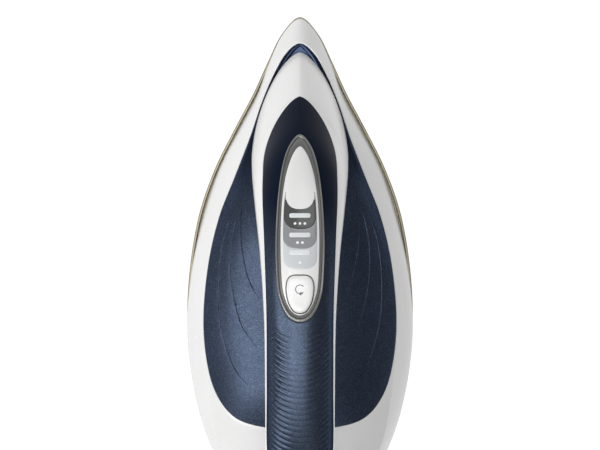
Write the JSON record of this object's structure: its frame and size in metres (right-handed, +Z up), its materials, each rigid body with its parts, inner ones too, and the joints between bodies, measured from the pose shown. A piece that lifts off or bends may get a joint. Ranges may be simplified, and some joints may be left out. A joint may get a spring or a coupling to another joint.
{
  "type": "clothes iron",
  "caption": "Steam iron handset with a pointed soleplate, domed cover, closed loop handle, steam trigger, temperature window panel and hose gland.",
  "frame": {"origin": "middle of the handset's length and width, on the plane of the soleplate's ironing face", "axes": "+Z up, +Y towards the soleplate's nose, +X to the right of a user who looks towards the nose"},
  "size_m": [0.1246, 0.276, 0.1411],
  "materials": {
    "coated_sole": "satin champagne ceramic coat with fine metallic fleck",
    "cast_metal": "bare die-cast light alloy, sand-blasted",
    "steel": "plated steel",
    "brass": "bare brass",
    "silicone": "matte silicone",
    "black_plastic": "moulded, fine texture",
    "white_plastic": "glossy moulded",
    "navy_plastic": "satin moulded with fine metallic fleck",
    "grip_plastic": "satin moulded, ribbed towards the rear",
    "light_grey_plastic": "satin moulded",
    "mid_grey_plastic": "glossy printed window",
    "dark_grey_plastic": "glossy printed window",
    "clear_trim": "satin chrome trim under a clear edge",
    "lamp_lens": "milky light guide",
    "circuit_board": "solder-masked board",
    "rubber_pad": "matte rubber"
  },
  "bodies": {
    "handset": {"sole_plate": "coated_sole", "heater_casting": "cast_metal", "steam_chamber_lid": "cast_metal", "heating_element": "steel", "lid_screw_front_left": "steel", "lid_screw_front_right": "steel", "lid_screw_rear_left": "steel", "lid_screw_rear_right": "steel", "shield_screw_front": "steel", "shield_screw_rear_left": "steel", "shield_screw_rear_right": "steel", "temperature_sensor": "steel", "trigger_pin": "steel", "trigger_spring": "steel", "heel_screw_left": "steel", "heel_screw_right": "steel", "board_screw": "steel", "element_terminal_left": "brass", "element_terminal_right": "brass", "steam_inlet_elbow": "brass", "chamber_seal": "silicone", "steam_hose": "silicone", "heater_lead_left": "silicone", "heater_lead_right": "silicone", "heat_shield": "black_plastic", "heel_floor": "black_plastic", "switch_bracket": "black_plastic", "micro_switch": "black_plastic", "wire_loom": "black_plastic", "board_cable": "black_plastic", "tact_switch": "black_plastic", "thermal_fuse": "black_plastic", "skirt_shell": "white_plastic", "handle_frame": "white_plastic", "panel_fascia": "white_plastic", "terminal_block": "white_plastic", "body_cover": "navy_plastic", "grip_cover": "grip_plastic", "handle_lining": "light_grey_plastic", "heel_cover": "light_grey_plastic", "level_window_low": "light_grey_plastic", "level_window_medium": "mid_grey_plastic", "panel_seal": "dark_grey_plastic", "level_window_high": "dark_grey_plastic", "hose_gland": "dark_grey_plastic", "panel_bezel": "clear_trim", "level_lamp_high": "lamp_lens", "level_lamp_medium": "lamp_lens", "level_lamp_low": "lamp_lens", "indicator_led_medium": "lamp_lens", "indicator_led_low": "lamp_lens", "control_board": "circuit_board", "heel_pad_upper": "rubber_pad", "heel_pad_lower": "rubber_pad"},
    "steam_trigger_body": {"steam_trigger": "light_grey_plastic"},
    "switch_plunger_body": {"switch_plunger": "brass"},
    "mode_button_body": {"mode_button": "white_plastic"},
    "tact_stem_body": {"tact_stem": "lamp_lens"}
  },
  "joints": [
    {"name": "steam_trigger_hinge", "type": "hinge", "parent": "handset", "child": "steam_trigger_body", "pos_m": [0, -0.009, 0.1146], "axis": [-1, 0, 0], "range_deg": [0, 6], "stiffness_Nm_per_rad": 0.5, "springref_deg": -5.73, "deforming": ["trigger_spring"]},
    {"name": "switch_plunger_slide", "type": "slide", "parent": "handset", "child": "switch_plunger_body", "axis": [0, 0, 1], "range_m": [0, 0.0016]},
    {"name": "mode_button_slide", "type": "slide", "parent": "handset", "child": "mode_button_body", "axis": [0, -0.216, -0.9764], "range_m": [0, 0.0008], "stiffness_N_per_m": 2000, "springref_m": -0.0003},
    {"name": "tact_stem_slide", "type": "slide", "parent": "handset", "child": "tact_stem_body", "axis": [0, -0.216, -0.9764], "range_m": [0, 0.0008]}
  ],
  "couplings": [
    {"joint": "switch_plunger_slide", "follows": "steam_trigger_hinge", "m_per_rad": 0.015},
    {"joint": "tact_stem_slide", "follows": "mode_button_slide", "ratio": 1}
  ]
}
